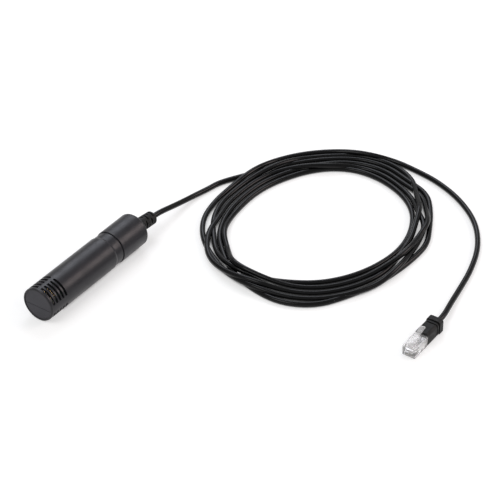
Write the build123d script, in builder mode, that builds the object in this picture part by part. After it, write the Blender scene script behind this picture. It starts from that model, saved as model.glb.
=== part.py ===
# Temperature probe on a lead: a slotted tube housing with a small sensor board inside,
# a moulded strain relief, a long round cable in a loose coil and a clear modular plug.
# Millimetres. +X runs along the housing from its nose to the cable, +Z is up.
# The origin is under the middle of the housing, on the surface it lies on.
import os
from math import atan2, cos, degrees, pi, radians, sin, tan

from build123d import *

os.makedirs("parts", exist_ok=True)

# Housing: a front tube and a rear cap of the same diameter
housing_diameter = 25.0
housing_length = 106.0
wall = 1.4
fit = 0.1
overrun = 1.0

# Front tube
nose_round = 0.9
taper_length = 1.7
neck_depth = 0.55
neck_length = 6.6
joint_gap = 0.7
spigot_length = 14.0
spigot_wall = 1.3
narrow_bore_lead = 3.6

# Slots through the nose: rings of four slots, parted by two narrow and two wide webs
slot_rows = 5
slot_first = 3.25
slot_pitch = 3.18
slot_width = 1.85
narrow_web = 2.45
wide_web = 6.4

# End cap, a disc pressed into the nose
cap_thickness = 1.8
cap_rim_depth = 0.7
cap_recess = 0.3
cap_gap = 0.15
cap_groove_width = 0.35
cap_groove_depth = 0.25
cap_groove_below_axis = 1.6

# Rear cap
rear_cap_length = 27.4
rear_wall = 2.6
rear_round = 1.7
rear_mouth_chamfer = 0.3

# Strain relief, moulded on the cable and held in the rear wall
relief_hole_radius = 4.6
relief_flange_radius = 6.2
relief_flange_thickness = 1.8
relief_root_radius = 5.4
relief_tip_radius = 4.9
relief_length = 19.2
relief_round = 0.9
relief_droop = 3.2
relief_swing = 2.5
relief_rings = 4
relief_ring_first = 8.4
relief_ring_pitch = 2.8
relief_ring_width = 1.1
relief_ring_depth = 1.2
relief_bridge = 3.6
relief_bridge_turns = (115.0, 155.0)
relief_bend_share = 0.2
route_bend_share = 0.45

# Cable
cable_diameter = 4.0
cable_end_reach = 13.6
tie_width = 2.5
tie_thickness = 1.0
tie_head_size = 3.2
tie_gap = 0.5

# Sensor board, which faces the slots on the upper front side
board_turn = 40.0
board_rise_share = 0.45
board_width_share = 1.35
board_thickness = 1.2
board_start = 5.0
board_end_margin = 4.0
rail_start = 20.0
rail_end_margin = 4.0
rail_grip = 1.2
rail_thickness = 1.2

# Parts on the board, each a body with its place along the board and across it
sensor_length = 2.6
sensor_width = 5.6
sensor_thickness = 0.9
sensor_place = 9.4
sensor_side = 1.4
sensor_window = 1.2
sensor_window_depth = 0.3
pad_count = 4
pad_pitch = 1.7
pad_size = 0.9
pad_length = 1.3
pad_thickness = 0.1
pad_gap = 0.1
chip_length = 4.6
chip_width = 4.0
chip_thickness = 1.4
chip_place = 16.8
chip_side = 0.4
capacitor_length = 2.0
capacitor_width = 1.25
capacitor_thickness = 1.1
capacitor_place = 7.7
capacitor_side = 5.4
resistor_length = 2.0
resistor_width = 1.2
resistor_thickness = 0.5
resistor_place = 14.6
resistor_side = 4.6

# Header and the conductors inside the housing
core_count = 6
core_diameter = 0.95
core_ring_radius = 1.25
core_straight = 8.0
core_reach = 12.0
header_length = 5.8
header_width_share = 1.08
header_thickness_share = 0.32
header_end_margin = 2.2
pin_size = 0.5
pin_cover = 0.8
pin_below_board = 1.2
pin_hole_radius = 0.5
core_ring_turns = (180.0, 120.0, 240.0, 60.0, 300.0, 0.0)

# Modular plug, lying latch up; its nose points back along the housing
plug_x = 54.3
plug_y = -223.2
plug_width = 9.65
plug_length = 17.0
plug_height = 7.2
plug_chamfer = 0.4
contact_pitch = 1.02
contact_thickness = 0.4
contact_slot_length = 6.0
contact_length = 4.2
contact_start = 1.1
contact_recess = 0.55
core_channel_start = 2.6
core_channel_height = 1.15
core_level = 3.65
core_start = 3.2
core_fan_start = 6.2
core_fan_end = 9.2
core_bunch_share = 0.5
core_bunch_rise = 0.62
plug_cavity_start = 6.0
plug_cavity_width = 7.4
plug_cavity_height = 4.6
jacket_start = 11.2
jacket_level = 4.0
crimp_start = 12.0
crimp_length = 3.0
crimp_width = 5.0
crimp_bar_length = 1.4
crimp_bar_thickness = 1.0

# Latch, one piece with the plug
latch_thickness = 1.15
latch_root = 0.5
latch_root_length = 2.0
latch_width = 6.2
shoulder_place = 8.8
shoulder_rise = 4.0
tab_width = 3.2
tab_end = 18.2
tab_rise = 6.4

# Boot behind the plug
boot_length = 19.0
boot_width = 10.0
boot_height = 9.2
boot_top_round = 2.2
boot_bottom_round = 0.6
boot_groove_first = 11.2
boot_groove_width = 1.1
boot_groove_pitch = 2.5
boot_groove_depth = 0.8
boot_flange_proud = 0.4
boot_cable_straight = 10.0

# Coil: its outline follows the loose turns, as shares of one mean radius, every 30 degrees
coil_x = 146.7
coil_y = -98.3
coil_radius = 90.0
coil_height = 9.6
coil_round = 2.6
coil_outer_shares = (1.09, 1.065, 1.0, 0.93, 0.98, 1.04, 1.055, 1.09, 0.925, 0.845, 0.845, 0.95)
coil_inner_shares = (0.75, 0.75, 0.665, 0.66, 0.74, 0.82, 0.815, 0.75, 0.67, 0.65, 0.67, 0.72)
lead_stub = 32.0
tail_stub = 18.0

# Route of the cable, chosen by hand: from the strain relief to the coil, and from the coil to the boot
lead_straight = 9.0
lead_route = [
    (97.0, -1.5, 7.2),
    (112.0, -1.7, 4.0),
    (128.0, -2.4, 2.0),
    (143.0, -6.8, 2.0),
]
tail_route = [
    (241.6, -118.5, 2.0),
    (237.6, -137.5, 2.0),
    (226.8, -161.8, 2.0),
    (208.6, -184.8, 2.0),
    (184.6, -201.6, 2.0),
    (157.5, -211.2, 2.0),
    (134.0, -216.4, 2.0),
    (116.0, -220.6, 3.2),
]

# Sizes worked out from the driving ones
axis_height = housing_diameter / 2
housing_radius = housing_diameter / 2
nose_x = -housing_length / 2
bore_radius = housing_radius - wall
rear_cap_start = housing_length - rear_cap_length
neck_end = rear_cap_start - joint_gap
neck_start = neck_end - neck_length
taper_start = neck_start - taper_length
wide_bore_length = taper_start - narrow_bore_lead
neck_radius = housing_radius - neck_depth
spigot_end = neck_end + spigot_length
spigot_radius = bore_radius - fit
narrow_bore_radius = spigot_radius - spigot_wall
rear_wall_start = housing_length - rear_wall
cable_radius = cable_diameter / 2
board_height = board_rise_share * bore_radius
board_width = board_width_share * bore_radius
board_base = board_height - board_thickness
board_end = wide_bore_length - board_end_margin
rail_end = board_end - rail_end_margin
rail_edge = board_width / 2 - rail_grip
rail_reach = housing_radius - rail_edge
header_start = board_end - header_end_margin - header_length
header_width = header_width_share * bore_radius
header_thickness = header_thickness_share * bore_radius
header_pitch = header_width / core_count
pin_depth = header_thickness - pin_cover
cable_end_place = rear_wall_start - relief_flange_thickness - cable_end_reach
core_floor = core_level - core_diameter / 2
flange_step = boot_groove_first + boot_groove_pitch + boot_groove_width
plug_tilt = degrees(atan2(boot_flange_proud, plug_length + flange_step))


def section(place):
    """Plane across the housing at a distance behind its nose: local x is +Y, local y is +Z."""
    return Plane(origin=(nose_x + place, 0, axis_height), x_dir=(0, 1, 0), z_dir=(1, 0, 0))


def board_section(place):
    """The same plane turned with the board: local x is across the board, local y away from it."""
    across = (0, cos(radians(board_turn)), sin(radians(board_turn)))
    return Plane(origin=(nose_x + place, 0, axis_height), x_dir=across, z_dir=(1, 0, 0))


def board_face(height):
    """Plane parallel to the board: local x is along the housing from its nose."""
    across = Vector(0, cos(radians(board_turn)), sin(radians(board_turn)))
    away = Vector(1, 0, 0).cross(across)
    origin = Vector(nose_x, 0, axis_height) + away * height
    return Plane(origin=origin, x_dir=(1, 0, 0), z_dir=away)


housing_side = Plane(origin=(nose_x, 0, axis_height), x_dir=(1, 0, 0), z_dir=(0, -1, 0))
housing_axis = Axis((nose_x, 0, axis_height), (1, 0, 0))

relief_direction = Vector(
    cos(radians(relief_droop)) * cos(radians(relief_swing)),
    -cos(radians(relief_droop)) * sin(radians(relief_swing)),
    -sin(radians(relief_droop)),
)
relief_root = Vector(housing_length / 2, 0, axis_height)
relief_tip = relief_root + relief_direction * relief_length
lead_in = relief_tip + relief_direction * lead_straight


def relief_section(place, turn=0.0):
    """Plane across the drooping strain relief at a distance behind the rear wall."""
    across = Vector(0, 0, 1).cross(relief_direction).rotate(Axis((0, 0, 0), relief_direction), turn)
    return Plane(origin=relief_root + relief_direction * place, x_dir=across, z_dir=relief_direction)


plug_direction = Vector(cos(radians(plug_tilt)), 0, sin(radians(plug_tilt)))
plug_up = Vector(-sin(radians(plug_tilt)), 0, cos(radians(plug_tilt)))


def plug_point(back, side, up):
    """A place on the plug: back from its nose, to its side and up from its underside."""
    return Vector(plug_x, plug_y + side, 0) + plug_direction * back + plug_up * up


def plug_section(back, up=0.0):
    """Plane across the plug: local x is +Y, local y is up."""
    return Plane(origin=plug_point(back, 0, up), x_dir=(0, 1, 0), z_dir=plug_direction)


def plug_side(side=0.0):
    """Plane along the plug: local x is back from its nose, local y is up."""
    return Plane(origin=plug_point(0, side, 0), x_dir=plug_direction, z_dir=(0, -1, 0))


def corner_radii(points, bend_share=route_bend_share):
    """The radius of each corner of a route: as large as the shorter run beside it allows."""
    radii = []
    for before, corner, after in zip(points, points[1:], points[2:]):
        run_in = corner - before
        run_out = after - corner
        shorter = min(run_in.length, run_out.length)
        half_turn = radians(run_in.get_angle(run_out)) / 2
        radii.append(bend_share * shorter / tan(half_turn))
    return radii


def tube_along(points, radius, bend_share=route_bend_share):
    """A round tube along a route of straight runs joined by tangent arcs."""
    points = [Vector(point) for point in points]
    start = Plane(origin=points[0], z_dir=points[1] - points[0])
    with BuildPart() as tube:
        with BuildLine() as path:
            FilletPolyline(*points, radius=corner_radii(points, bend_share))
        with BuildSketch(start):
            Circle(radius)
        sweep(path=path.line)
    return tube.part


# Front tube: turned profile, wide bore for the board, narrow bore through the neck and spigot
with BuildPart() as front_tube:
    with BuildSketch(housing_side):
        with BuildLine():
            Polyline(
                (0, 0),
                (0, housing_radius),
                (taper_start, housing_radius),
                (neck_start, neck_radius),
                (neck_end, neck_radius),
                (neck_end, spigot_radius),
                (spigot_end, spigot_radius),
                (spigot_end, 0),
                close=True,
            )
        make_face()
    revolve(axis=housing_axis)
    nose_rim = front_tube.edges().filter_by(GeomType.CIRCLE).sort_by(Axis.X)[0]
    fillet(nose_rim, nose_round)
    with BuildSketch(section(0)):
        Circle(bore_radius)
    extrude(amount=wide_bore_length, mode=Mode.SUBTRACT)
    with BuildSketch(section(wide_bore_length)):
        Circle(narrow_bore_radius)
    extrude(amount=spigot_end - wide_bore_length, mode=Mode.SUBTRACT)
    for row in range(slot_rows):
        with BuildSketch(section(slot_first + row * slot_pitch - slot_width / 2)):
            Circle(housing_radius + overrun)
            Rectangle(narrow_web, housing_diameter + 2 * overrun, mode=Mode.SUBTRACT)
            Rectangle(housing_diameter + 2 * overrun, wide_web, mode=Mode.SUBTRACT)
        extrude(amount=slot_width, mode=Mode.SUBTRACT)
    with BuildSketch(board_section(rail_start)):
        rail_height = board_thickness + 2 * rail_thickness
        for side in (-1, 1):
            with Locations((side * (rail_edge + rail_reach / 2), board_height - board_thickness / 2)):
                Rectangle(rail_reach, rail_height)
        Circle(housing_radius - wall / 2, mode=Mode.INTERSECT)
        with Locations((0, board_height - board_thickness / 2)):
            Rectangle(board_width + 2 * fit, board_thickness, mode=Mode.SUBTRACT)
    extrude(amount=rail_end - rail_start)
front_tube.part.label = "front_tube"

# End cap: a disc pressed in a little below the rim, with a fine gap round it and one scored line across
with BuildPart() as end_cap:
    with BuildSketch(section(cap_recess)):
        Circle(bore_radius - cap_gap)
    extrude(amount=cap_rim_depth)
    with BuildSketch(section(cap_recess + cap_rim_depth)):
        Circle(bore_radius)
    extrude(amount=cap_thickness - cap_rim_depth)
    with BuildSketch(section(cap_recess)):
        with Locations((0, -cap_groove_below_axis)):
            Rectangle(housing_diameter, cap_groove_width)
    extrude(amount=cap_groove_depth, mode=Mode.SUBTRACT)
end_cap.part.label = "end_cap"

# Rear cap: slides over the spigot up to an inner shoulder, and holds the strain relief
with BuildPart() as rear_cap:
    with BuildSketch(housing_side):
        with BuildLine():
            Polyline(
                (rear_cap_start, bore_radius),
                (rear_cap_start, housing_radius),
                (housing_length, housing_radius),
                (housing_length, relief_hole_radius),
                (rear_wall_start, relief_hole_radius),
                (rear_wall_start, narrow_bore_radius),
                (spigot_end, narrow_bore_radius),
                (spigot_end, bore_radius),
                close=True,
            )
        make_face()
    revolve(axis=housing_axis)
    outer_rings = rear_cap.edges().filter_by(GeomType.CIRCLE).group_by(SortBy.RADIUS)[-1]
    fillet(outer_rings.sort_by(Axis.X)[-1], rear_round)
    chamfer(outer_rings.sort_by(Axis.X)[0], rear_mouth_chamfer)
rear_cap.part.label = "rear_cap"

# Strain relief: flange and waist in the rear wall, then a drooping ribbed sleeve
with BuildPart() as relief_sleeve_build:
    with BuildSketch(relief_section(-overrun)):
        Circle(relief_root_radius)
    with BuildSketch(relief_section(relief_length)):
        Circle(relief_tip_radius)
    loft()
    tip_rim = relief_sleeve_build.edges().filter_by(GeomType.CIRCLE).sort_by(Axis.X)[-1]
    fillet(tip_rim, relief_round)
    for ring in range(relief_rings):
        ring_place = relief_ring_first + ring * relief_ring_pitch - relief_ring_width / 2
        with BuildSketch(relief_section(ring_place, relief_bridge_turns[ring % 2])):
            Circle(relief_root_radius + overrun)
            Circle(relief_tip_radius - relief_ring_depth, mode=Mode.SUBTRACT)
            Rectangle(2 * (relief_root_radius + overrun), relief_bridge, mode=Mode.SUBTRACT)
        extrude(amount=relief_ring_width, mode=Mode.SUBTRACT)
    split(bisect_by=section(housing_length), keep=Keep.TOP)
relief_sleeve = relief_sleeve_build.part

# Cable from inside the housing to the end of the strain relief, which is moulded round it
cable_end_start = Vector(nose_x + cable_end_place, 0, axis_height)
cable_end = tube_along([cable_end_start, relief_root, relief_tip], cable_radius, relief_bend_share)
cable_end.label = "cable_end"

with BuildPart() as strain_relief:
    with BuildSketch(section(rear_wall_start - relief_flange_thickness)):
        Circle(relief_flange_radius)
    extrude(amount=relief_flange_thickness)
    with BuildSketch(section(rear_wall_start)):
        Circle(relief_hole_radius - fit)
    extrude(amount=rear_wall)
    add(relief_sleeve)
    add(cable_end, mode=Mode.SUBTRACT)
strain_relief.part.label = "strain_relief"

# Tie round the cable inside the housing, which stops it pulling through
with BuildPart() as cable_tie:
    tie_place = rear_wall_start - relief_flange_thickness - tie_gap - tie_width
    with BuildSketch(section(tie_place)):
        Circle(cable_radius + tie_thickness)
        with Locations((0, cable_radius + tie_head_size / 2)):
            Rectangle(tie_head_size, tie_head_size)
        Circle(cable_radius, mode=Mode.SUBTRACT)
    extrude(amount=tie_width)
cable_tie.part.label = "cable_tie"

# Sensor board in its rails, with a hole for each header pin
pin_row = header_start + header_length / 2
with BuildPart() as sensor_board:
    with BuildSketch(board_face(board_base)):
        with Locations(((board_start + board_end) / 2, 0)):
            Rectangle(board_end - board_start, board_width)
        with Locations((pin_row, 0)):
            with GridLocations(0, header_pitch, 1, core_count):
                Circle(pin_hole_radius, mode=Mode.SUBTRACT)
    extrude(amount=board_thickness)
sensor_board.part.label = "sensor_board"

# Sensor chip with its sensing window
with BuildPart() as sensor_chip:
    with BuildSketch(board_face(board_height)):
        with Locations((sensor_place, sensor_side)):
            Rectangle(sensor_length, sensor_width)
    extrude(amount=sensor_thickness)
    with BuildSketch(board_face(board_height + sensor_thickness - sensor_window_depth)):
        with Locations((sensor_place, sensor_side)):
            Circle(sensor_window / 2)
    extrude(amount=sensor_window_depth, mode=Mode.SUBTRACT)
sensor_chip.part.label = "sensor_chip"

# Gold pads before and behind the sensor chip
with BuildPart() as contact_pads:
    pad_reach = sensor_length / 2 + pad_gap + pad_length / 2
    with BuildSketch(board_face(board_height)):
        with Locations((sensor_place, sensor_side)):
            with GridLocations(2 * pad_reach, pad_pitch, 2, pad_count):
                Rectangle(pad_length, pad_size)
    extrude(amount=pad_thickness)
contact_pads.part.label = "contact_pads"

with BuildPart() as interface_chip:
    with BuildSketch(board_face(board_height)):
        with Locations((chip_place, chip_side)):
            Rectangle(chip_length, chip_width)
    extrude(amount=chip_thickness)
interface_chip.part.label = "interface_chip"

small_parts = []
for number, side in ((1, 1), (2, -1)):
    with BuildPart() as capacitor:
        with BuildSketch(board_face(board_height)):
            with Locations((capacitor_place, side * capacitor_side)):
                Rectangle(capacitor_length, capacitor_width)
        extrude(amount=capacitor_thickness)
    capacitor.part.label = f"capacitor_{number}"
    with BuildPart() as resistor:
        with BuildSketch(board_face(board_height)):
            with Locations((resistor_place, side * resistor_side)):
                Rectangle(resistor_length, resistor_width)
        extrude(amount=resistor_thickness)
    resistor.part.label = f"resistor_{number}"
    small_parts += [capacitor.part, resistor.part]

# Header at the rear of the board, with a square pocket for each pin
with BuildPart() as board_header:
    with BuildSketch(board_face(board_height)):
        with Locations((pin_row, 0)):
            Rectangle(header_length, header_width)
    extrude(amount=header_thickness)
    with BuildSketch(board_face(board_height)):
        with Locations((pin_row, 0)):
            with GridLocations(0, header_pitch, 1, core_count):
                Rectangle(pin_size, pin_size)
    extrude(amount=pin_depth, mode=Mode.SUBTRACT)
board_header.part.label = "board_header"

header_pins = []
inner_cores = []
for number in range(core_count):
    core_side = (number - (core_count - 1) / 2) * header_pitch
    with BuildPart() as header_pin:
        with BuildSketch(board_face(board_base - pin_below_board)):
            with Locations((pin_row, core_side)):
                Rectangle(pin_size, pin_size)
        extrude(amount=pin_below_board + board_thickness + pin_depth)
    header_pin.part.label = f"header_pin_{number + 1}"
    header_pins.append(header_pin.part)

    ring_turn = radians(core_ring_turns[number])
    ring_side = core_ring_radius * cos(ring_turn)
    ring_rise = core_ring_radius * sin(ring_turn)
    core_rise = board_height + header_thickness / 2
    fan_place = cable_end_place - core_straight
    core_points = [
        board_section(cable_end_place).from_local_coords((ring_side, ring_rise, 0)),
        board_section(fan_place).from_local_coords((ring_side, ring_rise, 0)),
        board_section(fan_place - core_reach).from_local_coords((core_side, core_rise, 0)),
        board_section(header_start + header_length).from_local_coords((core_side, core_rise, 0)),
    ]
    inner_core = tube_along(core_points, core_diameter / 2)
    inner_core.label = f"inner_core_{number + 1}"
    inner_cores.append(inner_core)

# Plug body: a clear block with contact slots, a core channel, a cable cavity and its latch
with BuildPart() as plug_body:
    with BuildSketch(plug_section(0, plug_height / 2)):
        Rectangle(plug_width, plug_height)
    extrude(amount=plug_length)
    nose_edges = plug_body.faces().sort_by(Axis.X)[0].edges()
    chamfer(nose_edges, plug_chamfer)
    with BuildSketch(plug_side()):
        with BuildLine():
            Polyline(
                (latch_root, plug_height - latch_thickness / 2),
                (latch_root, plug_height + latch_thickness),
                (shoulder_place, plug_height + shoulder_rise),
                (shoulder_place, plug_height + shoulder_rise - latch_thickness),
                (latch_root + latch_root_length, plug_height),
                (latch_root + latch_root_length, plug_height - latch_thickness / 2),
                close=True,
            )
        make_face()
    extrude(amount=latch_width / 2, both=True)
    with BuildSketch(plug_side()):
        with BuildLine():
            Polyline(
                (shoulder_place, plug_height + shoulder_rise),
                (tab_end, plug_height + tab_rise),
                (tab_end, plug_height + tab_rise - latch_thickness),
                (shoulder_place, plug_height + shoulder_rise - latch_thickness),
                close=True,
            )
        make_face()
    extrude(amount=tab_width / 2, both=True)
    with BuildSketch(plug_section(-overrun, 0)):
        with GridLocations(contact_pitch, 0, core_count, 1):
            Rectangle(contact_thickness, 2 * core_floor)
    extrude(amount=overrun + contact_slot_length, mode=Mode.SUBTRACT)
    with BuildSketch(plug_section(core_channel_start, core_floor + core_channel_height / 2)):
        Rectangle(contact_pitch * core_count, core_channel_height)
    extrude(amount=plug_cavity_start - core_channel_start, mode=Mode.SUBTRACT)
    with BuildSketch(plug_section(plug_cavity_start, jacket_level)):
        Rectangle(plug_cavity_width, plug_cavity_height)
    extrude(amount=plug_length - plug_cavity_start, mode=Mode.SUBTRACT)
    with BuildSketch(plug_section(crimp_start, 0)):
        Rectangle(crimp_width, 2 * (jacket_level - plug_cavity_height / 2))
    extrude(amount=crimp_length, mode=Mode.SUBTRACT)
    crimp_bar_back = crimp_start + (crimp_length - crimp_bar_length) / 2
    with BuildSketch(plug_section(crimp_bar_back, jacket_level - cable_radius - crimp_bar_thickness / 2)):
        Rectangle(plug_cavity_width, crimp_bar_thickness)
    extrude(amount=crimp_bar_length)
plug_body.part.label = "plug_body"

contacts = []
plug_cores = []
for number in range(core_count):
    lane = (number - (core_count - 1) / 2) * contact_pitch
    with BuildPart() as contact:
        with BuildSketch(plug_section(contact_start, (contact_recess + core_floor) / 2)):
            with Locations((lane, 0)):
                Rectangle(contact_thickness, core_floor - contact_recess)
        extrude(amount=contact_length)
    contact.part.label = f"contact_{number + 1}"
    contacts.append(contact.part)

    bunch_up = jacket_level + (core_bunch_rise if number % 2 else -core_bunch_rise)
    core_route = [
        plug_point(core_start, lane, core_level),
        plug_point(core_fan_start, lane, core_level),
        plug_point(core_fan_end, lane * core_bunch_share, bunch_up),
        plug_point(jacket_start, lane * core_bunch_share, bunch_up),
    ]
    plug_core = tube_along(core_route, core_diameter / 2)
    plug_core.label = f"plug_core_{number + 1}"
    plug_cores.append(plug_core)

# End of the cable in the plug, held by the bar under it
with BuildPart() as cable_plug_end:
    with BuildSketch(plug_section(jacket_start, jacket_level)):
        Circle(cable_radius)
    extrude(amount=plug_length + boot_length - jacket_start)
cable_plug_end.part.label = "cable_plug_end"

# Boot: a rounded block behind the plug, with two grooves and a flange at the cable end
with BuildPart() as plug_boot:
    with BuildSketch(plug_section(plug_length, boot_height / 2)) as boot_outline:
        Rectangle(boot_width, boot_height)
        fillet(boot_outline.vertices().group_by(Axis.Y)[-1], boot_top_round)
        fillet(boot_outline.vertices().group_by(Axis.Y)[0], boot_bottom_round)
    extrude(amount=boot_length)
    with BuildSketch(plug_section(plug_length + flange_step, boot_height / 2)) as flange_outline:
        Rectangle(boot_width + 2 * boot_flange_proud, boot_height + 2 * boot_flange_proud)
        fillet(flange_outline.vertices().group_by(Axis.Y)[-1], boot_top_round)
        fillet(flange_outline.vertices().group_by(Axis.Y)[0], boot_bottom_round)
    extrude(amount=boot_length - flange_step)
    for groove in range(2):
        groove_back = plug_length + boot_groove_first + groove * boot_groove_pitch
        with BuildSketch(plug_section(groove_back, boot_height / 2)) as groove_outline:
            Rectangle(boot_width + 2 * overrun, boot_height + 2 * overrun)
            groove_width = boot_width - 2 * boot_groove_depth
            groove_height = boot_height - 2 * boot_groove_depth
            RectangleRounded(groove_width, groove_height, boot_top_round / 2, mode=Mode.SUBTRACT)
        extrude(amount=boot_groove_width, mode=Mode.SUBTRACT)
    add(cable_plug_end.part, mode=Mode.SUBTRACT)
plug_boot.part.label = "plug_boot"

# Cable outside the housing: a tube from the strain relief to the coil, the coil, a tube to the boot
boot_exit = plug_point(plug_length + boot_length, 0, jacket_level)
boot_lead_in = plug_point(plug_length + boot_length + boot_cable_straight, 0, jacket_level)
lead_points = [relief_tip, lead_in] + [Vector(point) for point in lead_route]
tail_points = [Vector(point) for point in tail_route] + [boot_lead_in, boot_exit]

cable_lead = tube_along(lead_points, cable_radius)
cable_lead.label = "cable_lead"
cable_tail = tube_along(tail_points, cable_radius)
cable_tail.label = "cable_tail"


def coil_outline(shares):
    """Points of a closed outline round the coil's middle, one for each share."""
    step = 360 / len(shares)
    points = []
    for index, share in enumerate(shares):
        turn = radians(index * step)
        points.append((coil_radius * share * cos(turn), coil_radius * share * sin(turn)))
    return points


lead_end = lead_points[-1]
lead_heading = (lead_end - lead_points[-2]).normalized()
tail_start = tail_points[0]
tail_heading = (tail_start - tail_points[1]).normalized()
with BuildPart() as cable_coil:
    with BuildSketch(Plane(origin=(coil_x, coil_y, 0))):
        with BuildLine():
            Spline(*coil_outline(coil_outer_shares), periodic=True)
        make_face()
        with BuildLine():
            Spline(*coil_outline(coil_inner_shares), periodic=True)
        make_face(mode=Mode.SUBTRACT)
    extrude(amount=coil_height)
    fillet(cable_coil.faces().sort_by(Axis.Z)[-1].edges(), coil_round)
    with BuildSketch(Plane(origin=lead_end, z_dir=lead_heading)):
        Circle(cable_radius)
    extrude(amount=lead_stub)
    with BuildSketch(Plane(origin=tail_start, z_dir=tail_heading)):
        Circle(cable_radius)
    extrude(amount=tail_stub)
cable_coil.part.label = "cable_coil"

for name, points, tube in (("lead", lead_points, cable_lead), ("tail", tail_points, cable_tail)):
    radii = [round(radius, 1) for radius in corner_radii(points)]
    runs = sum((after - before).length for before, after in zip(points, points[1:]))
    section_area = pi * cable_radius**2
    print(name, "radii", radii, "runs", round(runs, 1), "tube length", round(tube.volume / section_area, 1))

pieces = [
    front_tube.part,
    end_cap.part,
    rear_cap.part,
    strain_relief.part,
    cable_end,
    cable_tie.part,
    sensor_board.part,
    sensor_chip.part,
    contact_pads.part,
    interface_chip.part,
    *small_parts,
    board_header.part,
    *header_pins,
    *inner_cores,
    plug_body.part,
    *contacts,
    *plug_cores,
    cable_plug_end.part,
    plug_boot.part,
    cable_lead,
    cable_coil.part,
    cable_tail,
]
for piece in pieces:
    export_step(piece, f"parts/{piece.label}.step")
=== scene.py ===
import math

import bpy
from bpy.props import FloatProperty, FloatVectorProperty, IntProperty, PointerProperty
from bpy.types import Operator, Panel, PropertyGroup
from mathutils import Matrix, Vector


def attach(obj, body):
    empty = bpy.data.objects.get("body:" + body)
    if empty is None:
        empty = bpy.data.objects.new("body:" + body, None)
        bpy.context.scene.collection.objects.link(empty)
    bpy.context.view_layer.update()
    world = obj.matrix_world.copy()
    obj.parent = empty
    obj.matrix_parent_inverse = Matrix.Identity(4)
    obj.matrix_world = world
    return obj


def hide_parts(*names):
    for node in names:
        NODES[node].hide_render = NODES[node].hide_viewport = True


bl_info = {
    "name": "Temperature Probe",
    "version": (1, 0, 0),
    "blender": (4, 5, 0),
    "location": "View3D > Sidebar > Temperature Probe",
    "description": "Finishes a slotted temperature probe with its coiled cable and clear plug",
    "category": "Add Mesh",
}

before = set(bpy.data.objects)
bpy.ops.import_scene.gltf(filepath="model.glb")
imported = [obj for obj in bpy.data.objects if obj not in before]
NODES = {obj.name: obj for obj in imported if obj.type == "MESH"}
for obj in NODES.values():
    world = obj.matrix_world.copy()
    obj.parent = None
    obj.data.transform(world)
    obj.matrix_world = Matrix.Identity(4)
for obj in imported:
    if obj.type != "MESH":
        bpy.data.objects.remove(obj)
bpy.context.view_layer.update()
MM = 0.001
CORES = 6

# ---------------------------------------------------------------- route of the cable
# The same route points as the solid's, in millimetres: x and y along the floor, z up.
LEAD_POINTS = (
    (53.0, 0.0, 12.5), (62.5, -0.4, 11.97), (72.152, -0.836, 11.428), (81.129, -1.228, 10.926),
    (97.0, -1.5, 7.2), (112.0, -1.7, 4.0), (124.0, -2.4, 2.2), (135.0, -5.0, 2.0),
)
TAIL_POINTS = (
    (241.3, -118.2, 2.0), (237.8, -138.0, 2.0), (227.4, -162.4, 2.0), (209.6, -185.8, 2.0),
    (185.0, -202.4, 2.0), (157.6, -211.6, 2.0), (134.0, -216.0, 2.0), (115.6, -219.6, 3.2),
    (100.246, -223.2, 4.578), (90.247, -223.2, 4.4525), (77.0, -223.2, 4.3), (66.5, -223.2, 4.1),
)
COIL_CENTRE = (146.7, -98.3)

# Each turn's distance from the coil's centre, in millimetres as it shows from the front, at every
# 15 degrees: from 90 degrees down to 0, and on round to 105.
TURN_STEP = math.radians(15)
TURN_START = math.radians(90)
TURNS = (
    (89.0, 79.0, 75.9, 76.3, 79.3, 84.0, 83.9, 80.1, 82.3, 76.8, 74.2, 76.0,
     74.7, 76.0, 80.5, 87.0, 97.5, 99.8, 94.0, 88.0, 80.9, 76.5, 71.1, 66.9),
    (64.7, 64.9, 65.9, 68.8, 74.2, 78.2, 78.6, 75.3, 77.9, 73.8, 72.7, 67.3,
     65.6, 66.0, 69.8, 74.3, 78.7, 80.8, 79.2, 80.8, 76.5, 72.8, 67.2, 62.0),
    (59.9, 59.5, 60.3, 63.5, 67.3, 69.3, 68.0, 66.2, 65.2, 63.8, 61.9, 61.3,
     61.6, 62.4, 64.7, 68.3, 72.7, 76.3, 81.5, 84.6, 85.3, 80.3, 78.9, 76.7),
    (74.3, 75.4, 78.9, 80.9, 83.5, 88.7, 89.3, 84.6, 74.2, 70.2, 63.8, 63.4,
     64.0, 70.0, 75.2, 80.1, 85.0, 86.8, 86.0, 91.8, 92.4, 84.3, 75.0, 71.8),
    (69.5, 70.1, 71.2, 70.9, 70.8, 73.4, 73.3, 70.9, 69.8, 67.5, 70.9, 69.6,
     70.0, 72.8, 82.0, 85.6, 91.2, 93.2, 91.4, 92.3, 89.5, 88.3, 86.0, 81.3),
    (78.7, 81.7, 84.0, 86.6, 89.6, 92.3, 93.6),
)
# The order in which the turns lie on each other, from the floor up, and the stretch of the circle,
# as step numbers, where two of them have changed places.
USUAL_ORDER = (0, 2, 1, 4, 3, 5)
CROSSED_ORDER = (0, 2, 3, 4, 1, 5)
CROSSED_STEPS = range(10, 16)
# How far a turn seems to move outwards for each millimetre that it is higher, the height it was
# read at, and the side of the coil that it moves towards.
LEAN = 1.36
READING_HEIGHT = 4.0
LEAN_TOWARDS = math.radians(34.7)
LEVELLING_PASSES = 2
# A smooth curve runs a little inside its points, so these stand out by as much.
OUTSET = 8 / (6 + 2 * math.cos(TURN_STEP))
# Turns nearer than this share of a diameter rest on each other.
TURN_CLEARANCE = 0.98

# The cable has 4 sides, and twice this number more.
ROUNDNESS = 6

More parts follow.
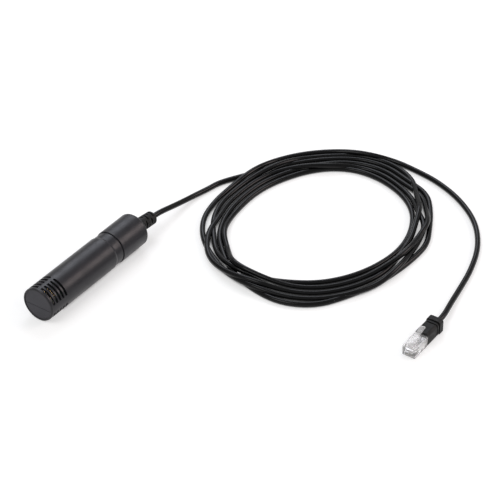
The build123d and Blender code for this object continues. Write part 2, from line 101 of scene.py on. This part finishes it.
# ---------------------------------------------------------------- fixed colours
TRACK_COLOUR = (0.05, 0.10, 0.06)
PACKAGE_COLOUR = (0.012, 0.012, 0.013)
CERAMIC_COLOUR = (0.72, 0.66, 0.55)
HEADER_COLOUR = (0.74, 0.72, 0.66)
TIE_COLOUR = (0.02, 0.02, 0.02)
CORE_COLOURS = (
    (0.74, 0.73, 0.72), (0.50, 0.47, 0.47), (0.62, 0.45, 0.44),
    (0.58, 0.60, 0.58), (0.66, 0.60, 0.50), (0.46, 0.48, 0.54),
)
WHITE = (1.0, 1.0, 1.0, 1.0)

# ---------------------------------------------------------------- stage
# Each lamp: the start of its setting's name, its place, its width and its colour.
LAMPS = (
    ("cool", (0.79, 0.51, 0.89), 0.66, (0.88, 0.91, 1.0)),
    ("warm", (0.79, -0.82, 0.63), 0.55, (1.0, 0.86, 0.84)),
    ("front", (-0.95, 0.15, 1.35), 0.8, (1.0, 1.0, 1.0)),
)
PROBE_MIDDLE = (0.0, 0.0, 0.0)
CAMERA_PLACE = (-0.8348, -0.7129, 0.8298)
CAMERA_TARGET = (0.0923, -0.0713, 0.0)
SENSOR_WIDTH = 36.0
# The paper lies this far below the object, so that no two surfaces share a place.
FLOOR_DROP = 0.0002
PAPER_COLOUR = (0.62, 0.62, 0.62, 1.0)
# The paper's own brightness near the object and far out, and these two distances.
NEAR_GLOW, FAR_GLOW = 0.5, 0.74
NEAR, FAR = 0.4, 1.4
# How bright the paper shows through a clear piece.
GLOW_THROUGH_CLEAR = 0.85
# Painted shade: ambient occlusion cuts the paper's glow in the narrow slits between turns and
# along the lines where a part meets the paper.
# How near the slits' walls are, and how open a slit is that shows black and one that shows white.
PAINTED_SHADE_REACH = 0.006
PAINTED_SHADE_FULL_AT, PAINTED_SHADE_NONE_AT = 0.08, 0.32


# ---------------------------------------------------------------- materials
# Most of a noise texture's values lie between these two.
NOISE_LOW, NOISE_HIGH = 0.3, 0.7


def map_range(tree, source, from_low, from_high, low, high):
    """The value carried over from one range to another."""
    node = tree.nodes.new("ShaderNodeMapRange")
    for key, value in (("From Min", from_low), ("From Max", from_high),
                       ("To Min", low), ("To Max", high)):
        node.inputs[key].default_value = value
    tree.links.new(source, node.inputs["Value"])
    return node.outputs["Result"]


class Finish:
    """A procedural material that is built up one effect at a time."""

    def __init__(self, name):
        self.material = bpy.data.materials.new(name)
        self.material.use_nodes = True
        self.tree = self.material.node_tree
        self.shader = self.tree.nodes["Principled BSDF"]
        self.place = self.add("ShaderNodeNewGeometry").outputs["Position"]
        self.normal = None

    def add(self, kind):
        return self.tree.nodes.new(kind)

    def link(self, output, target):
        self.tree.links.new(output, target)

    def set(self, **values):
        for key, value in values.items():
            self.shader.inputs[key.replace("_", " ")].default_value = value

    def noise(self, scale, detail, drawn_out=None):
        """An uneven pattern, about this many spots to the metre, drawn out along X if asked."""
        place = self.place
        if drawn_out:
            mapping = self.add("ShaderNodeMapping")
            mapping.inputs["Scale"].default_value = (1 / drawn_out, 1.0, 1.0)
            self.link(place, mapping.inputs["Vector"])
            place = mapping.outputs["Vector"]
        node = self.add("ShaderNodeTexNoise")
        node.inputs["Scale"].default_value = scale
        node.inputs["Detail"].default_value = detail
        self.link(place, node.inputs["Vector"])
        return node.outputs["Fac"]

    def colours(self, source, *stops):
        """Colours the surface by the source, from stops of a value and a colour."""
        ramp = self.add("ShaderNodeValToRGB")
        for step, (at, colour) in zip(ramp.color_ramp.elements, stops):
            step.position = at
            step.color = (*colour, 1.0)
        self.link(source, ramp.inputs["Fac"])
        self.link(ramp.outputs["Color"], self.shader.inputs["Base Color"])

    def roughness(self, source, low, high):
        value = map_range(self.tree, source, NOISE_LOW, NOISE_HIGH, low, high)
        self.link(value, self.shader.inputs["Roughness"])

    def bump(self, source, height, strength):
        """Raises the surface by the source, over the bumps that are there already."""
        node = self.add("ShaderNodeBump")
        node.inputs["Strength"].default_value = strength
        node.inputs["Distance"].default_value = height
        self.link(source, node.inputs["Height"])
        if self.normal:
            self.link(self.normal, node.inputs["Normal"])
        self.normal = node.outputs["Normal"]
        self.link(self.normal, self.shader.inputs["Normal"])


def shade(colour, factor):
    """The colour made darker or lighter."""
    return tuple(min(1.0, part * factor) for part in colour)


def moulded_plastic(name, colour, rough, grain=2600.0):
    """Hard plastic from a spark-eroded mould: even fine grain, faint flow marks, rubbed spots."""
    finish = Finish(name)
    finish.colours(finish.noise(38.0, 5.0), (0.3, shade(colour, 0.86)), (0.7, shade(colour, 1.14)))
    finish.roughness(finish.noise(130.0, 4.0), rough - 0.05, rough + 0.06)
    finish.bump(finish.noise(grain, 2.0), height=0.03 * MM, strength=0.35)
    finish.bump(finish.noise(60.0, 2.0, drawn_out=4.0), height=0.08 * MM, strength=0.1)
    finish.set(Specular_IOR_Level=0.32)
    return finish


def soft_moulding(name, colour):
    """Soft overmoulded rubber: matt, with a coarse dull grain and a little bloom."""
    finish = Finish(name)
    finish.colours(finish.noise(240.0, 5.0), (0.3, shade(colour, 0.7)), (0.72, shade(colour, 1.6)))
    finish.roughness(finish.noise(420.0, 4.0), 0.5, 0.68)
    finish.bump(finish.noise(1500.0, 4.0), height=0.06 * MM, strength=0.5)
    finish.set(Specular_IOR_Level=0.3)
    return finish


def jacket(name, colour):
    """Extruded cable jacket: shiny, with a slight orange peel, a fine grain and dust."""
    finish = Finish(name)
    finish.colours(finish.noise(90.0, 6.0), (0.35, shade(colour, 0.75)), (0.8, shade(colour, 1.5)))
    finish.roughness(finish.noise(170.0, 5.0), 0.17, 0.27)
    finish.bump(finish.noise(320.0, 3.0), height=0.12 * MM, strength=0.16)
    finish.bump(finish.noise(1700.0, 2.0), height=0.02 * MM, strength=0.25)
    finish.set(Specular_IOR_Level=0.19)
    return finish


def plated_metal(name, colour):
    """Thin plating: satin, with fine drawn lines and a few dull spots."""
    finish = Finish(name)
    finish.colours(finish.noise(900.0, 4.0), (0.3, shade(colour, 0.8)), (0.7, shade(colour, 1.1)))
    finish.roughness(finish.noise(1400.0, 3.0, drawn_out=5.0), 0.2, 0.38)
    finish.bump(finish.noise(2500.0, 2.0, drawn_out=10.0), height=0.01 * MM, strength=0.3)
    finish.set(Metallic=1.0)
    return finish


def clear_plastic(name, tint):
    """Clear moulded plastic with faint flow lines and handling haze."""
    finish = Finish(name)
    finish.colours(finish.noise(120.0, 3.0), (0.3, shade(tint, 0.97)), (0.7, tint))
    finish.roughness(finish.noise(300.0, 4.0), 0.03, 0.09)
    finish.bump(finish.noise(220.0, 2.0, drawn_out=2.5), height=0.1 * MM, strength=0.12)
    finish.set(Transmission_Weight=0.75, IOR=1.4)
    return finish


def lacquered_board(name, colour, copper):
    """Circuit board under solder lacquer: the tracks below show as slightly paler raised lines."""
    finish = Finish(name)
    tracks = finish.add("ShaderNodeTexBrick")
    for key, value in (("Scale", 300.0), ("Mortar Size", 0.035), ("Mortar Smooth", 0.2),
                       ("Brick Width", 1.7), ("Row Height", 0.4)):
        tracks.inputs[key].default_value = value
    tracks.inputs["Color1"].default_value = (*colour, 1.0)
    tracks.inputs["Color2"].default_value = (*shade(colour, 1.35), 1.0)
    tracks.inputs["Mortar"].default_value = (*copper, 1.0)
    finish.link(finish.place, tracks.inputs["Vector"])
    finish.link(tracks.outputs["Color"], finish.shader.inputs["Base Color"])
    finish.roughness(finish.noise(500.0, 3.0), 0.18, 0.32)
    finish.bump(tracks.outputs["Fac"], height=0.05 * MM, strength=0.3)
    finish.bump(finish.noise(1800.0, 2.0), height=0.01 * MM, strength=0.3)
    return finish


def fired_ceramic(name, colour):
    """Ceramic capacitor body: pale, chalky and speckled."""
    finish = Finish(name)
    finish.colours(finish.noise(2200.0, 4.0), (0.35, shade(colour, 0.78)), (0.65, colour))
    finish.roughness(finish.noise(1500.0, 3.0), 0.4, 0.6)
    finish.bump(finish.noise(4000.0, 2.0), height=0.01 * MM, strength=0.5)
    return finish


def insulation(name, colour):
    """Thin extruded insulation of one conductor."""
    finish = Finish(name)
    finish.colours(finish.noise(600.0, 3.0), (0.3, shade(colour, 0.85)), (0.7, shade(colour, 1.1)))
    finish.roughness(finish.noise(800.0, 3.0), 0.3, 0.45)
    finish.bump(finish.noise(1800.0, 2.0), height=0.02 * MM, strength=0.3)
    return finish


def give(finish, *nodes):
    """Puts the finish on every material slot of these solids from the frame."""
    for node in nodes:
        slots = NODES[node].material_slots
        if not slots:
            NODES[node].data.materials.append(finish.material)
        for slot in slots:
            slot.material = finish.material


def numbered(stem, count):
    """The names of pieces that are numbered from 1."""
    return ["%s_%d" % (stem, number) for number in range(1, count + 1)]


# ---------------------------------------------------------------- what a user can change
class CableSettings(PropertyGroup):
    """Sizes of the cable"""

    diameter: FloatProperty(
        name="Diameter", description="Outside diameter of the round jacket", default=0.004,
        min=0.001, unit="LENGTH", subtype="DISTANCE")
    length: FloatProperty(
        name="Length", description="Real length of the cable from strain relief to plug",
        default=2.92, min=0.1, unit="LENGTH", subtype="DISTANCE")
    smoothness: IntProperty(
        name="Smoothness", description="Steps of the curve between two route points", default=6,
        min=2, max=24)


class ColourSettings(PropertyGroup):
    """Colours of the finishes"""

    housing: FloatVectorProperty(
        name="Housing", description="Dark grey plastic of the two tubes", subtype="COLOR",
        default=(0.0165, 0.0158, 0.0195), min=0.0, max=1.0)
    # The nose's colour is its own lighter plastic, made a little lighter still as painted
    # reflection of the floor on the end face.
    nose: FloatVectorProperty(
        name="Nose", description="Plastic of the round end disc", subtype="COLOR",
        default=(0.036, 0.0345, 0.042), min=0.0, max=1.0)
    rubber: FloatVectorProperty(
        name="Rubber", description="Soft black moulding of the strain relief and the boot",
        subtype="COLOR", default=(0.006, 0.006, 0.006), min=0.0, max=1.0)
    cable: FloatVectorProperty(
        name="Cable", description="Black cable jacket", subtype="COLOR",
        default=(0.0022, 0.0022, 0.0026), min=0.0, max=1.0)
    plug: FloatVectorProperty(
        name="Plug", description="Tint of the clear plug", subtype="COLOR",
        default=(0.99, 0.985, 0.99), min=0.0, max=1.0)
    board: FloatVectorProperty(
        name="Board", description="Lacquer of the circuit board", subtype="COLOR",
        default=(0.012, 0.030, 0.018), min=0.0, max=1.0)
    gold: FloatVectorProperty(
        name="Gold", description="Plating of the pins and pads in the housing", subtype="COLOR",
        default=(0.82, 0.62, 0.30), min=0.0, max=1.0)
    blade: FloatVectorProperty(
        name="Blade", description="Thin pale plating of the plug's contact blades",
        subtype="COLOR", default=(0.80, 0.74, 0.62), min=0.0, max=1.0)


class StudioSettings(PropertyGroup):
    """Camera, lamps and floor"""

    focal_length: FloatProperty(
        name="Focal length", description="Focal length of the camera in millimetres",
        default=143.72, min=10.0)
    floor_size: FloatProperty(
        name="Floor size", description="Width of the pale floor", default=8.0, min=1.0,
        unit="LENGTH", subtype="DISTANCE")
    cool_power: FloatProperty(
        name="Cool lamp", description="Power of the lamp behind the probe, on its left",
        default=4.4, min=0.0, unit="POWER")
    warm_power: FloatProperty(
        name="Warm lamp", description="Power of the lamp behind the probe, on its right",
        default=4.2, min=0.0, unit="POWER")
    front_power: FloatProperty(
        name="Front lamp", description="Power of the large lamp over the camera", default=7.0,
        min=0.0, unit="POWER")
    sky: FloatProperty(
        name="Sky", description="Strength of the even light from all round", default=0.5,
        min=0.0)


# ---------------------------------------------------------------- cable
def heights_at(radii, order, diameter):
    """The heights of the turns that pass one angle, laid on each other in their order."""
    heights = {}
    for turn in order:
        if turn >= len(radii):
            continue
        height = diameter / 2
        for lower, level in heights.items():
            beside = abs(radii[turn] - radii[lower])
            if beside < diameter * TURN_CLEARANCE:
                height = max(height, level + math.sqrt(diameter ** 2 - beside ** 2))
        heights[turn] = height
    return heights


def coil_points(diameter):
    """The coil's points, turn after turn, in millimetres."""
    steps = len(TURNS[0])
    places = {}
    for step in range(steps):
        angle = TURN_START - step * TURN_STEP
        seen = [turn[step] for turn in TURNS if step < len(turn)]
        order = CROSSED_ORDER if step in CROSSED_STEPS else USUAL_ORDER
        tilt = LEAN * math.cos(angle - LEAN_TOWARDS)
        radii = seen
        for _ in range(LEVELLING_PASSES):
            heights = heights_at(radii, order, diameter)
            radii = [r + tilt * (READING_HEIGHT - heights[turn]) for turn, r in enumerate(seen)]
        for turn, radius in enumerate(radii):
            reach = radius * OUTSET
            places[turn, step] = (COIL_CENTRE[0] + reach * math.cos(angle),
                                  COIL_CENTRE[1] + reach * math.sin(angle), heights[turn])
    return [places[turn, step] for turn in range(len(TURNS)) for step in range(len(TURNS[turn]))]


class PROBE_OT_lay_cable(Operator):
    """Lays the cable from the strain relief through its loose coil to the plug"""

    bl_idname = "probe.lay_cable"
    bl_label = "Lay cable"

    def execute(self, context):
        settings = context.scene.probe_cable
        diameter = settings.diameter / MM
        points = list(LEAD_POINTS) + coil_points(diameter) + list(TAIL_POINTS)
        curve = bpy.data.curves.new("cable", "CURVE")
        curve.dimensions = "3D"
        line = curve.splines.new("NURBS")
        line.points.add(len(points) - 1)
        for control, point in zip(line.points, points):
            control.co = (*(part * MM for part in point), 1.0)
        line.order_u = 3
        line.use_endpoint_u = True
        line.resolution_u = settings.smoothness
        curve.bevel_depth = settings.diameter / 2
        curve.bevel_resolution = ROUNDNESS
        curve.use_fill_caps = True
        cable = bpy.data.objects.new("cable", curve)
        context.scene.collection.objects.link(cable)
        colours = context.scene.probe_colours
        curve.materials.append(jacket("cable jacket", colours.cable).material)
        with_pieces = ["strain_relief", "cable_end", "plug_body", "cable_plug_end", "plug_boot"]
        with_pieces += numbered("contact", CORES) + numbered("plug_core", CORES)
        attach(cable, "root")
        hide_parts("cable_lead", "cable_coil", "cable_tail")
        return {"FINISHED"}


# ---------------------------------------------------------------- finishes of the solids
class PROBE_OT_finish_housing(Operator):
    """Gives the two tubes and the nose disc their moulded plastic"""

    bl_idname = "probe.finish_housing"
    bl_label = "Finish housing"

    def execute(self, context):
        colours = context.scene.probe_colours
        housing = moulded_plastic("housing plastic", colours.housing, 0.36)
        give(housing, "front_tube", "rear_cap")
        # The nose plastic's colour holds its own lighter tone and a little painted reflection of
        # the floor.
        give(moulded_plastic("nose plastic", colours.nose, 0.46), "end_cap")
        return {"FINISHED"}


class PROBE_OT_finish_rubber(Operator):
    """Gives the strain relief and the plug's boot their soft black moulding"""

    bl_idname = "probe.finish_rubber"
    bl_label = "Finish rubber"

    def execute(self, context):
        rubber = soft_moulding("soft rubber", context.scene.probe_colours.rubber)
        give(rubber, "strain_relief", "plug_boot")
        return {"FINISHED"}


class PROBE_OT_finish_board(Operator):
    """Finishes the board inside the nose with its parts, header and cable tie"""

    bl_idname = "probe.finish_board"
    bl_label = "Finish board"

    def execute(self, context):
        colours = context.scene.probe_colours
        give(lacquered_board("board lacquer", colours.board, TRACK_COLOUR), "sensor_board")
        package = moulded_plastic("chip package", PACKAGE_COLOUR, 0.5, 5000.0)
        give(package, "sensor_chip", "interface_chip", *numbered("resistor", 2))
        give(fired_ceramic("capacitor ceramic", CERAMIC_COLOUR), *numbered("capacitor", 2))
        plating = plated_metal("gold plating", colours.gold)
        give(plating, "contact_pads", *numbered("header_pin", CORES))
        give(moulded_plastic("header nylon", HEADER_COLOUR, 0.45), "board_header")
        give(moulded_plastic("tie nylon", TIE_COLOUR, 0.4), "cable_tie")
        return {"FINISHED"}


class PROBE_OT_finish_plug(Operator):
    """Finishes the clear plug, the conductors and the cable's hidden ends"""

    bl_idname = "probe.finish_plug"
    bl_label = "Finish plug"

    def execute(self, context):
        colours = context.scene.probe_colours
        give(clear_plastic("clear plug plastic", colours.plug), "plug_body")
        give(jacket("cable jacket ends", colours.cable), "cable_end", "cable_plug_end")
        give(plated_metal("contact plating", colours.blade), *numbered("contact", CORES))
        for number, colour in enumerate(CORE_COLOURS, 1):
            core = insulation("conductor insulation %d" % number, colour)
            give(core, "inner_core_%d" % number, "plug_core_%d" % number)
        return {"FINISHED"}


# ---------------------------------------------------------------- studio
def aim(item, place, target):
    """Sets an object down at a place, looking at the target."""
    item.location = place
    item.rotation_euler = (Vector(target) - Vector(place)).to_track_quat("-Z", "Y").to_euler()


def soft_lamp(name, place, width, power, colour):
    """A square lamp that looks at the probe."""
    lamp = bpy.data.lights.new(name, "AREA")
    lamp.shape = "SQUARE"
    lamp.size = width
    lamp.energy = power
    lamp.color = colour
    item = bpy.data.objects.new(name, lamp)
    bpy.context.scene.collection.objects.link(item)
    aim(item, place, PROBE_MIDDLE)


def combine(tree, operation, first, second):
    """The result of one sum of two values, each of them a node's output or a plain number."""
    node = tree.nodes.new("ShaderNodeMath")
    node.operation = operation
    for socket, value in zip(node.inputs, (first, second)):
        if isinstance(value, bpy.types.NodeSocket):
            tree.links.new(value, socket)
        else:
            socket.default_value = value
    return node.outputs[0]


def seen_rays(tree, *kinds):
    """1 for a ray of one of these kinds, such as from the camera or through a clear piece."""
    path = tree.nodes.new("ShaderNodeLightPath")
    either = path.outputs[kinds[0]]
    for kind in kinds[1:]:
        either = combine(tree, "MAXIMUM", either, path.outputs[kind])
    return either


class PROBE_OT_set_studio(Operator):
    """Sets up the pale floor, the soft lamps and the camera"""

    bl_idname = "probe.set_studio"
    bl_label = "Set studio"

    def execute(self, context):
        scene = context.scene
        settings = scene.probe_studio
        scene.view_settings.view_transform = "Standard"
        self.make_floor(settings)
        self.make_sky(scene, settings)
        for name, place, width, colour in LAMPS:
            soft_lamp(name + " lamp", place, width, getattr(settings, name + "_power"), colour)
        lens = bpy.data.cameras.new("camera")
        lens.lens = settings.focal_length
        lens.sensor_width = SENSOR_WIDTH
        camera = bpy.data.objects.new("camera", lens)
        scene.collection.objects.link(camera)
        aim(camera, CAMERA_PLACE, CAMERA_TARGET)
        scene.camera = camera
        return {"FINISHED"}

    def make_floor(self, settings):
        """A sheet of white paper that glows a little itself, which keeps the background white."""
        half = settings.floor_size / 2
        corners = [(-half, -half, -FLOOR_DROP), (half, -half, -FLOOR_DROP),
                   (half, half, -FLOOR_DROP), (-half, half, -FLOOR_DROP)]
        mesh = bpy.data.meshes.new("floor")
        mesh.from_pydata(corners, [], [(0, 1, 2, 3)])
        floor = bpy.data.objects.new("floor", mesh)
        bpy.context.scene.collection.objects.link(floor)
        material = bpy.data.materials.new("floor paper")
        material.use_nodes = True
        tree = material.node_tree
        tree.nodes.clear()
        paper = tree.nodes.new("ShaderNodeBsdfDiffuse")
        paper.inputs["Color"].default_value = PAPER_COLOUR
        glow = tree.nodes.new("ShaderNodeEmission")
        glow.inputs["Color"].default_value = WHITE
        direct = combine(tree, "MULTIPLY", seen_rays(tree, "Is Camera Ray", "Is Glossy Ray"),
                         self.glow_by_distance(tree))
        through_clear = combine(tree, "MULTIPLY", seen_rays(tree, "Is Transmission Ray"),
                                GLOW_THROUGH_CLEAR)
        # The glow is cut by painted shade in the slits between turns and along the contact lines.
        strength = combine(tree, "MAXIMUM", combine(tree, "MULTIPLY", direct, self.painted_slit_shade(tree)),
                           through_clear)
        tree.links.new(strength, glow.inputs["Strength"])
        total = tree.nodes.new("ShaderNodeAddShader")
        tree.links.new(paper.outputs[0], total.inputs[0])
        tree.links.new(glow.outputs[0], total.inputs[1])
        output = tree.nodes.new("ShaderNodeOutputMaterial")
        tree.links.new(total.outputs[0], output.inputs["Surface"])
        mesh.materials.append(material)

    def glow_by_distance(self, tree):
        """The paper's own brightness, a little more far out, where the lamps hardly reach."""
        place = tree.nodes.new("ShaderNodeNewGeometry")
        distance = tree.nodes.new("ShaderNodeVectorMath")
        distance.operation = "LENGTH"
        tree.links.new(place.outputs["Position"], distance.inputs[0])
        return map_range(tree, distance.outputs["Value"], NEAR, FAR, NEAR_GLOW, FAR_GLOW)

    def painted_slit_shade(self, tree):
        """Painted shade: 0 where the camera sees a narrow slit between two turns, which gets
        hardly any light, so the paper's glow is taken away there by ambient occlusion.
        """
        cover = tree.nodes.new("ShaderNodeAmbientOcclusion")
        cover.inputs["Distance"].default_value = PAINTED_SHADE_REACH
        painted_slit_shade = map_range(tree, cover.outputs["AO"], PAINTED_SHADE_FULL_AT, PAINTED_SHADE_NONE_AT, 0.0, 1.0)
        unseen = combine(tree, "SUBTRACT", 1.0, seen_rays(tree, "Is Camera Ray"))
        return combine(tree, "MAXIMUM", painted_slit_shade, unseen)

    def make_sky(self, scene, settings):
        """Even light from all round, which shows as white behind the floor."""
        world = bpy.data.worlds.new("even light")
        world.use_nodes = True
        tree = world.node_tree
        light = tree.nodes["Background"]
        light.inputs["Color"].default_value = WHITE
        light.inputs["Strength"].default_value = settings.sky
        backdrop = tree.nodes.new("ShaderNodeBackground")
        backdrop.inputs["Color"].default_value = WHITE
        choice = tree.nodes.new("ShaderNodeMixShader")
        tree.links.new(seen_rays(tree, "Is Camera Ray", "Is Transmission Ray"),
                       choice.inputs["Fac"])
        tree.links.new(light.outputs[0], choice.inputs[1])
        tree.links.new(backdrop.outputs[0], choice.inputs[2])
        tree.links.new(choice.outputs[0], tree.nodes["World Output"].inputs["Surface"])
        scene.world = world


class PROBE_PT_sidebar(Panel):
    """Lists the steps and their settings"""

    bl_idname = "PROBE_PT_sidebar"
    bl_label = "Temperature Probe"
    bl_space_type = "VIEW_3D"
    bl_region_type = "UI"
    bl_category = "Temperature Probe"

    def draw(self, context):
        scene = context.scene
        for settings in (scene.probe_cable, scene.probe_colours, scene.probe_studio):
            box = self.layout.box()
            for key in settings.__annotations__:
                box.prop(settings, key)
        for step in STEPS:
            self.layout.operator(step.bl_idname)


SETTINGS = {"probe_cable": CableSettings, "probe_colours": ColourSettings,
            "probe_studio": StudioSettings}
STEPS = (PROBE_OT_lay_cable, PROBE_OT_finish_housing, PROBE_OT_finish_rubber,
         PROBE_OT_finish_board, PROBE_OT_finish_plug, PROBE_OT_set_studio)


def register():
    for kind in (*SETTINGS.values(), *STEPS, PROBE_PT_sidebar):
        bpy.utils.register_class(kind)
    for name, kind in SETTINGS.items():
        setattr(bpy.types.Scene, name, PointerProperty(type=kind))


def unregister():
    for name in SETTINGS:
        delattr(bpy.types.Scene, name)
    for kind in (PROBE_PT_sidebar, *reversed(STEPS), *SETTINGS.values()):
        bpy.utils.unregister_class(kind)


def main():
    register()
    bpy.ops.probe.lay_cable()
    bpy.ops.probe.finish_housing()
    bpy.ops.probe.finish_rubber()
    bpy.ops.probe.finish_board()
    bpy.ops.probe.finish_plug()
    bpy.ops.probe.set_studio()


if __name__ == "__main__":
    main()
